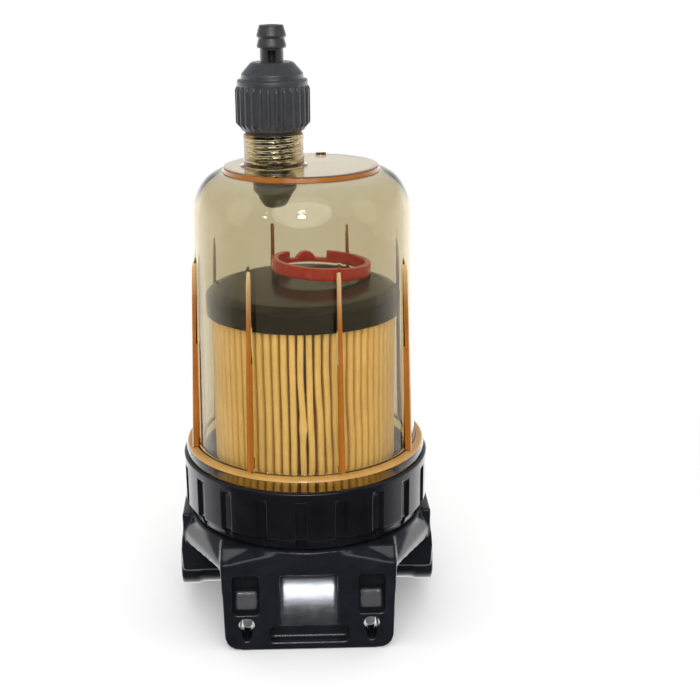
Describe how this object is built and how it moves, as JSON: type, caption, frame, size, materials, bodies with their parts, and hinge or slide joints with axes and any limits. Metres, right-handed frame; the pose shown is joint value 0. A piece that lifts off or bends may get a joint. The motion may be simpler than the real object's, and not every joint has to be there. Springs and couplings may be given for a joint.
{
  "type": "clear-bowl fuel filter and water separator",
  "caption": "Inline liquid filter: die-cast mounting head with two ports, see-through screw-on bowl, pleated element, float ring and drain valve.",
  "frame": {"origin": "on the bowl axis, at the flat underside of the head, which the part stands on", "axes": "+Z along the bowl axis from the head towards the drain valve, -Y out of the mounting face, +X towards the right port"},
  "size_m": [0.1074, 0.1016, 0.2404],
  "materials": {
    "black_casting": "semi-gloss black paint over a fine cast texture",
    "black_collar": "glossy black moulding",
    "amber_bowl": "clear amber moulded plastic",
    "element_cap": "satin black plastic",
    "filter_paper": "resin-treated pleated paper",
    "plated_steel": "zinc-plated steel",
    "rubber_seal": "black nitrile rubber",
    "red_float": "glossy red plastic",
    "drain_plastic": "satin dark grey glass-filled plastic",
    "barb_plastic": "satin black plastic",
    "stem_plastic": "satin dark grey plastic"
  },
  "bodies": {
    "head": {"head_casting": "black_casting", "centre_stub": "plated_steel", "stub_seal": "rubber_seal"},
    "gasket": {"bowl_gasket": "rubber_seal"},
    "seal": {"bowl_seal": "rubber_seal"},
    "bowl": {"bowl": "amber_bowl", "collar": "black_collar"},
    "element": {"element_top_cap": "element_cap", "element_base_cap": "element_cap", "pleats_1": "filter_paper", "pleats_2": "filter_paper", "pleats_3": "filter_paper", "pleats_4": "filter_paper", "pleats_5": "filter_paper", "pleats_6": "filter_paper", "pleats_7": "filter_paper", "core_tube": "plated_steel", "seam_clip": "plated_steel", "base_grommet": "rubber_seal"},
    "float": {"float_ring": "red_float"},
    "drain_seal": {"drain_stem_seal": "rubber_seal"},
    "drain": {"drain_knob": "drain_plastic", "drain_barb": "barb_plastic", "drain_stem": "stem_plastic", "drain_plug": "stem_plastic", "plug_seal": "rubber_seal", "drain_neck_seal": "rubber_seal"}
  },
  "joints": [
    {"name": "bowl_lift", "type": "slide", "parent": "head", "child": "gasket", "axis": [0, 0, 1], "range_m": [0, 0.2]},
    {"name": "bowl_rise", "type": "slide", "parent": "gasket", "child": "seal", "axis": [0, 0, 1], "range_m": [0, 0.00901]},
    {"name": "bowl_turn", "type": "hinge", "parent": "seal", "child": "bowl", "pos_m": [0, 0, 0.05], "axis": [0, 0, 1], "range_deg": [0, 1080]},
    {"name": "element_lift", "type": "slide", "parent": "head", "child": "element", "axis": [0, 0, 1], "range_m": [0, 0.1]},
    {"name": "float_rise", "type": "slide", "parent": "element", "child": "float", "axis": [0, 0, 1], "range_m": [0, 0.02]},
    {"name": "drain_rise", "type": "slide", "parent": "bowl", "child": "drain_seal", "axis": [0, 0, 1], "range_m": [0, 0.00251]},
    {"name": "drain_turn", "type": "hinge", "parent": "drain_seal", "child": "drain", "pos_m": [-0.0105, 0, 0.2], "axis": [0, 0, 1], "range_deg": [0, 450]}
  ],
  "couplings": [
    {"joint": "bowl_rise", "follows": "bowl_turn", "m_per_rad": 0.00047746},
    {"joint": "drain_rise", "follows": "drain_turn", "m_per_rad": 0.00031831},
    {"joint": "element_lift", "follows": "bowl_lift", "ratio": 0.5}
  ]
}
